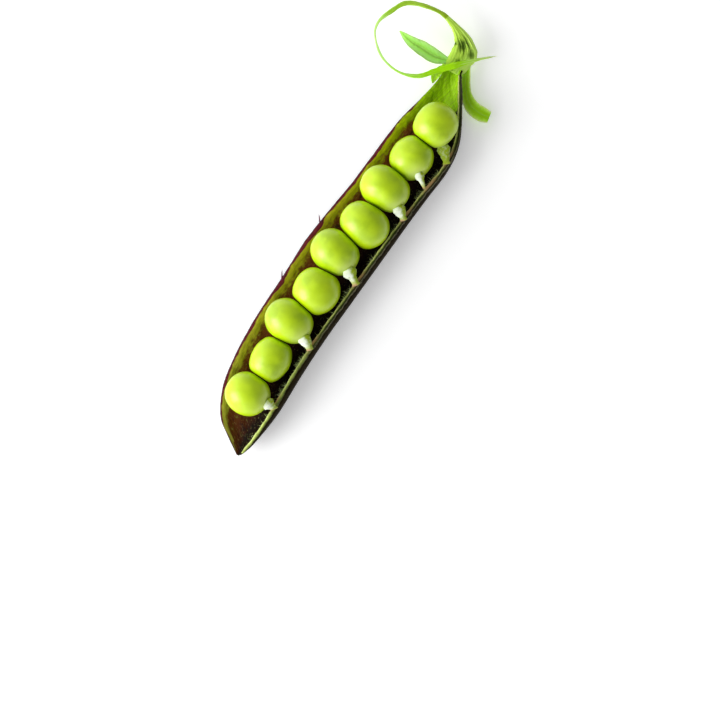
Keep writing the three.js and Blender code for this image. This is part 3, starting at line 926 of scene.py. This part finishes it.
def hair_finish(name, dark, light):
    """Dry plant hair: no gloss to speak of, and its tone changes from one hair to the next."""

    def pattern(add):
        place = add("TexCoord", {}, out="Object")
        noise = add("TexNoise", {"Vector": place, "Scale": 900.0, "Detail": 2.0})
        return add("ValToRGB", {"Fac": noise}, [(0.35, dark), (0.65, light)]), None

    return finish_from(name, pattern, Roughness=0.7, IOR=1.4)


print("one hair is closed by", len(tube_faces(5, 4)), "faces")

# %% [markdown]
# Tufts sit just under the seed lip, towards the tip from each stalk's foot, where no pea hides them.

# %% Fuzz and torn fibres in place
TUFTS = [24.5, 19.3, 10.0, 1.5, -6.8, -8.6, -24.6, -26.2, -33.5, 30.6]  # x of each tuft's middle
HAIRS_A_TUFT, LOOSE_HAIRS = 46, 200
HAIR_RADIUS, FIBRE_RADIUS = 0.075, 0.20  # at the root, thicker than real hairs so that they show
FIBRES = [  # x, length, and lean away from the row's line
    [3.0, 2.3, 0.0], [3.4, 1.1, 0.5], [-12.0, 2.3, 0.0], [-11.4, 1.2, 0.5], [8.6, 0.6, 0.3],
    [31.0, 0.4, 0],
]


def make_fuzz():
    """Hairs from under the lip point inwards and a little up, each with a random turn of its own."""
    dice = np.random.default_rng(90)
    tufted = np.repeat(TUFTS, HAIRS_A_TUFT) + dice.normal(0, 0.8, HAIRS_A_TUFT * len(TUFTS))
    x = np.concatenate([tufted, dice.uniform(-46, 40, LOOSE_HAIRS)])
    middle, across, up = seam_frame(x)
    down = dice.uniform(0.1, 0.9, len(x))[:, None]
    roots = middle + across * wall_thickness(x)[:, None] * 0.45 - up * down
    ways = across * 1.0 + up * 0.35 + dice.normal(0, 0.5, roots.shape)
    points, faces = hairs(roots, ways, dice.uniform(0.45, 1.15, len(x)), HAIR_RADIUS, 91)
    finish = hair_finish("pale pod hair", "#8aa04c", "#c8d49a")
    new_piece("lip_fuzz", points, faces, finish, "seed_stalk")


def make_torn_fibres():
    """Pairs of nearly straight fibres on the dorsal lip, all leaning towards the calyx."""
    dice = np.random.default_rng(95)
    x, length, lean = np.repeat(FIBRES, 2, axis=0).T
    x = x + dice.normal(0, 0.08, len(x))
    angle = np.full(len(x), -math.radians(DORSAL_RIM_ANGLE))
    roots = wall_point(x, angle, wall_thickness(x) * 0.3) - [0, 0, 0.1]
    ways = np.array([0.87, 0.50, 0.25]) + lean[:, None] * [0.5, -0.87, 0]
    ways = ways + dice.normal(0, 0.03, roots.shape)
    points, faces = hairs(roots, ways, length, FIBRE_RADIUS, 96, curls=0.04)
    finish = hair_finish("torn purple seam fibre", "#3c1028", "#7a2850")
    new_piece("dorsal_torn_fibres", points, faces, finish, "pod_skin")


make_fuzz()
make_torn_fibres()

# %% [markdown]
# ## The calyx
#
# The calyx is the green cup that held the flower. Here it was pulled apart with the pod, so it is a
# thick torn sheet: ridged lengthwise, pitted on top, and drawn out at its far end into the seam
# string. It is worked out between two edge routes and swollen in the middle. Its ridges and its
# ragged pits are real relief, because they catch the light, and the pits are also darkened in their
# colour as painted shade. It laps over the neck of the valve and takes in the start of the string,
# because the real tissue grows together there.

# %% Calyx shape
CALYX_LEFT = [
    [46.4, 0.8, 4.3], [49.6, 0.4, 4.7], [52.3, 0.9, 5.0], [54.0, 1.8, 5.1], [55.0, 3.2, 5.3],
    [55.8, 5.1, 5.7],
]
CALYX_RIGHT = [
    [46.9, -4.1, 3.2], [50.2, -5.0, 3.6], [52.2, -5.1, 4.0], [53.9, -4.1, 4.3], [55.2, -2.0, 4.7],
    [56.1, 1.2, 5.2], [56.8, 4.8, 5.7],
]
CALYX_THICKNESS = 1.3
CALYX_ROWS, CALYX_COLUMNS = 150, 90
PIT_DEPTH = 0.8
CALYX_PITS = [  # x, y, radius
    [53.5, -1.1, 1.05], [52.6, -1.6, 1.0], [52.1, -3.8, 1.0], [49.2, -2.2, 0.7], [52.4, 0.4, 0.6],
]


def calyx_grids():
    """Top and bottom of the cup, how deep each point lies in a pit, and the share s across it. The
    swelling is sin(pi·s)^0.45·(1 - 0.6·t), and a pit is exp(-1.6·r·(distance/radius)²), where r
    makes its border ragged."""
    left, right = route_through(CALYX_LEFT, CALYX_ROWS), route_through(CALYX_RIGHT, CALYX_ROWS)
    s = np.linspace(0, 1, CALYX_COLUMNS)[None, :]
    t = np.linspace(0, 1, CALYX_ROWS)[:, None]
    level = left[:, None] * (1 - s[..., None]) + right[:, None] * s[..., None]
    fray = 0.12 * wobble(t * 11, 31, 1.0) * (2 * s - 1)
    level[..., 1] -= fray * np.sin(np.pi * np.clip(t, 0, 0.9)) ** 0.3
    swell = np.sin(np.pi * s) ** 0.45 * (1 - 0.6 * t) + 0.02
    ragged = np.clip(1 + 0.5 * wobble(s * 14 + t * 9, 35, 1.0), 0.5, 2)
    pit = sum(
        np.exp(-1.6 * ragged * ((level[..., 0] - x) ** 2 + (level[..., 1] - y) ** 2) / radius**2)
        for x, y, radius in CALYX_PITS
    )
    ridges = 0.045 * np.sin(s * 20 + 1.6 * wobble(t * 3, 33, 1.0))
    ridges = ridges + 0.045 * wobble(s * 30 + t * 6, 34, 1.0)
    top, bottom = level.copy(), level.copy()
    top[..., 2] += (CALYX_THICKNESS * 0.5 - PIT_DEPTH * pit + ridges) * swell
    bottom[..., 2] -= 0.3 + (CALYX_THICKNESS - ridges) * 0.5 * swell
    return top, bottom, pit, np.broadcast_to(s, pit.shape)


calyx_top, calyx_bottom, calyx_pit, calyx_across = calyx_grids()
print("the calyx is", np.round(np.ptp(calyx_top.reshape(-1, 3), axis=0), 1).tolist(), "mm")

# %% [markdown]
# Calyx, sepals and string are soft green leaf tissue. They share one recipe: a colour ramp read
# along a fibre pattern, a little light passing through, and a low satin sheen. Each gets its own
# colours, from deep green, which in the calyx's pits is painted shade, to almost white where the
# tissue is thinnest, which at the right sepal's edges is partly a painted rim highlight.


# %% Green tissue finish
def green_tissue(name, attribute, stops, fibre_scale, stretch, through, roughness=0.5, shade=None):
    """Leaf tissue. `stops` colour the attribute from 0 to 1, and fibres of the given scale in the
    piece's own `place` break it up. `through` is the share of light that passes. `shade` names an
    attribute that takes the colour towards its hex."""

    def pattern(add, value, place, amount=None):
        fibre = add("Mapping", {"Vector": place, "Scale": stretch})
        grain = add(
            "TexNoise", {"Vector": fibre, "Scale": fibre_scale, "Detail": 6.0, "Roughness": 0.65},
        )
        ragged = add("Math", {0: grain, 1: -0.5}, operation="ADD")
        shifted = add("Math", {0: ragged, 1: 0.5, 2: value}, operation="MULTIPLY_ADD")
        colour = add("ValToRGB", {"Fac": shifted}, stops)
        if shade:
            colour = add("Mix", {0: amount, 6: colour, 7: linear(shade[1])}, **COLOURS)
        return colour, grain

    reads = [attribute, "place"] + ([shade[0]] if shade else [])
    return finish_from(
        name, pattern, reads, (0.5, 0.15), Roughness=roughness, IOR=1.42, Subsurface_Weight=through,
        Subsurface_Scale=0.5 * MM, Subsurface_Radius=(0.9, 1.0, 0.3), Specular_IOR_Level=0.2,
    )


def make_calyx():
    # Painted shade: the pits are taken towards a darker green, as well as being sunk in the mesh.
    finish = green_tissue(
        "torn calyx tissue", "across",
        [(0.0, "#bee850"), (0.2, "#b8de50"), (0.45, "#aad040"), (0.7, "#bee45c"), (1.0, "#c8ec6c")],
        1.2, (0.5, 2.5, 1), 0.15, shade=("pit", "#5c7c1c"),
    )
    new_piece(
        "calyx_cup", stacked(calyx_top, calyx_bottom), sheet_faces(*calyx_pit.shape), finish, "calyx",
        ["calyx"], across=stacked(calyx_across), pit=np.clip(stacked(calyx_pit), 0, 1) * 0.95,
        place=stacked(calyx_top),
    )


make_calyx()

# %% [markdown]
# ## The string
#
# The seam's strand peeled off with the other valve and sprang into a loop. It is a flat fibrous
# ribbon, thin and pale at the far side of the loop, widest where it crosses the neck, and frayed to
# a point. It is an oval with a grooved top, carried along a listed route. It starts inside the calyx
# and comes back over it.

# %% String
STRING = [
    [54.6, 1.2, 4.5], [56.4, 5.5, 5.7], [55.9, 10.3, 6.7], [54.2, 14.3, 7.2], [51.0, 16.2, 7.4],
    [47.8, 17.4, 7.4], [45.0, 16.8, 7.3], [41.5, 13.1, 7.1], [40.4, 8.4, 6.9], [41.7, 4.1, 6.6],
    [44.8, 1.1, 6.5], [48.2, -2.2, 6.6], [51.8, -5.8, 5.9], [54.6, -8.9, 4.9],
]
STRING_WIDE = [0.60, 0.50, 0.48, 0.56, 0.24, 0.27, 0.28, 0.52, 0.72, 0.42, 0.12]
STRING_FLATNESS = 0.55
STRING_ROWS, STRING_SIDES = 420, 22
FRAYED_ROWS = 14  # at the free end, where the ribbon runs out to a point


def make_string():
    """A grooved oval along the route, at least 0.2 mm thick until it frays."""
    t = np.linspace(0, 1, STRING_ROWS)
    route = route_through(STRING, STRING_ROWS)
    wide = eased(STRING_WIDE, t) * (1 + 0.07 * wobble(t * 40, 51, 1.0))
    wide[-FRAYED_ROWS:] *= np.linspace(1, 0.15, FRAYED_ROWS)
    thick = np.maximum(0.2, wide * STRING_FLATNESS) * np.clip(wide / 0.25, 0.3, 1)
    rings = rings_along(route, wide, thick, STRING_SIDES, groove=0.4)
    length = np.linalg.norm(np.diff(route, axis=0), axis=1).sum()
    along, aside = np.meshgrid(t * length, np.cos(round_angles(STRING_SIDES)), indexing="ij")
    place = np.stack([along, aside, 0 * along], -1).reshape(-1, 3)
    finish = green_tissue(
        "peeled seam ribbon", "t",
        [(0.0, "#86a014"), (0.1, "#94b41c"), (0.2, "#b0d84c"), (0.3, "#98c818"), (0.4, "#ccf88c"),
         (0.5, "#c4f888"), (0.62, "#b4ec5c"), (0.72, "#9cd800"), (0.86, "#a0dc08"), (1.0, "#dcf0a0")],
        1.0, (0.25, 3.0, 1), 0.25, 0.4,
    )
    new_piece(
        "seam_string", capped(rings, route), tube_faces(STRING_ROWS, STRING_SIDES), finish, "string",
        ["suture_string"], t=np.append(np.repeat(t, STRING_SIDES), [0, 1]),
        place=np.concatenate([place, place[:1], place[-1:]]),
    )
    print("the string is", round(length, 1), "mm long")


make_string()

# %% [markdown]
# ## The sepals
#
# Three of the calyx's five pointed lobes show. A sepal is a leaf: a thin blade on a midrib, with
# side veins that leave it at a slant, raised edges and a little curl. Vein and midrib are relief in
# the mesh as well as a change of colour. The blade narrows to its point by its list of half widths.

# %% Sepal shape
SEPAL_CUP = 0.2
SEPALS = {
    "sepal_left": {
        "line": [
            [48.4, -0.2, 4.4], [47.6, 3.0, 5.2], [47.6, 6.0, 5.8], [47.7, 9.2, 6.0], [48.5, 12.5, 5.6],
        ],
        "half_widths": [0.55, 1.25, 1.75, 1.75, 1.4, 0.85, 0.12], "thickness": 0.4,
        "stops": [(0.0, "#90cc48"), (0.35, "#b0f468"), (0.7, "#b8f080"), (1.0, "#a0c870")],
    },
    "sepal_right": {
        "line": [
            [49.8, -4.0, 3.0], [47.9, -4.9, 2.4], [45.6, -6.2, 1.8], [43.6, -7.9, 1.6],
            [42.4, -9.8, 1.9], [42.1, -12.0, 2.0], [42.4, -14.1, 1.8],
        ],
        "half_widths": [0.85, 1.0, 1.15, 1.35, 1.65, 1.75, 1.35], "thickness": 0.5,
        # Paler towards both edges: partly the leaf's own margin and partly a painted rim highlight.
        "stops": [(0.0, "#a4dc04"), (0.4, "#a8e008"), (0.75, "#ccff50"), (1.0, "#f0ffc0")],
    },
    "sepal_small": {
        "line": [[46.9, 0.1, 5.1], [45.2, 0.6, 4.9], [43.8, 0.8, 4.6], [42.3, 0.5, 4.3]],
        "half_widths": [0.4, 0.9, 0.9, 0.12], "thickness": 0.4,
        "stops": [(0.0, "#8cb81c"), (0.5, "#9ccc18"), (1.0, "#b0e02c")],
    },
}


def sepal_grids(line, half_widths, thickness, rows=120, columns=60):
    """Top and bottom of a blade, its veins and the share |s| from the midrib to the edge. A point
    lies sideways by s·half and up by cup·half·s², less a midrib groove 0.05·exp(-(s/0.1)²), less
    side veins where 11·t - 2.2·|s| passes a whole number."""
    t = np.linspace(0, 1, rows)
    route = route_through(line, rows)
    forward = unit(np.gradient(route, axis=0))
    sideways = unit(np.cross([0, 0, 1], forward))
    outward = np.cross(forward, sideways)
    s = np.linspace(-1, 1, columns)[None, :]
    half = eased(half_widths, t)[:, None] * (1 + 0.04 * wobble(t * 5, 83, 1.0)[:, None] * np.abs(s))
    slanted = np.sin(np.pi * (11 * t[:, None] - 2.2 * np.abs(s)))
    vein = np.exp(-((slanted / 0.28) ** 2)) * np.abs(s) ** 0.4
    rib = np.exp(-((s / 0.10) ** 2))
    thin = thickness * (1 - 0.75 * s**2) * np.clip(half / 0.5, 0.25, 1)
    lift = SEPAL_CUP * half * s**2 + 0.06 * wobble(t * 7, 84, 1.0)[:, None] * s
    level = route[:, None] + (s * half)[..., None] * sideways[:, None]
    top = level + (lift + thin / 2 - 0.05 * rib - 0.03 * vein)[..., None] * outward[:, None]
    bottom = level + (lift - thin / 2 - 0.12 * rib)[..., None] * outward[:, None]
    return top, bottom, np.clip(rib + 0.5 * vein, 0, 1), np.broadcast_to(np.abs(s), vein.shape)


def make_sepals():
    for name, sepal in SEPALS.items():
        shape = sepal["line"], sepal["half_widths"], sepal["thickness"]
        top, bottom, veins, edge = sepal_grids(*shape)
        finish = green_tissue(
            name.replace("_", " ") + " leaf", "edge", sepal["stops"], 1.6, (1, 1, 1), 0.3, 0.45,
            shade=("veins", "#c2e88c"),
        )
        new_piece(
            name + "_leaf", stacked(top, bottom), sheet_faces(*veins.shape), finish, "sepal", [name],
            edge=stacked(edge), veins=stacked(veins) * 0.15, place=stacked(top),
        )


make_sepals()

# %% [markdown]
# ## The floor
#
# A plain white sheet, large enough to fill every view. It only catches the soft shadow. It glows
# faintly, as a light table does, so that the shadow stays pale, and it has a very faint tooth.

# %% Floor
FLOOR_HALF = 3.0  # metres


def make_floor():
    """A square whose tooth is a noise with grains of about 1 mm between two near whites."""

    def pattern(add):
        place = add("TexCoord", {}, out="Object")
        tooth = add("TexNoise", {"Vector": place, "Scale": 900.0, "Detail": 2.0})
        return add("ValToRGB", {"Fac": tooth}, [(0.3, "#f6f6f7"), (0.7, "#f9f9f9")]), None

    mesh = bpy.data.meshes.new("white_floor")
    corners = [(-1, -1), (1, -1), (1, 1), (-1, 1)]
    mesh.from_pydata([(x * FLOOR_HALF, y * FLOOR_HALF, 0) for x, y in corners], [], [(0, 1, 2, 3)])
    mesh.materials.append(finish_from(
        "matt white sheet", pattern, Roughness=0.9, Emission_Color=(1, 1, 1, 1),
        Emission_Strength=0.25,
    ))
    floor = bpy.data.objects.new("white_floor", mesh)
    bpy.context.scene.collection.objects.link(floor)


make_floor()
print("floor", 2 * FLOOR_HALF, "m square")
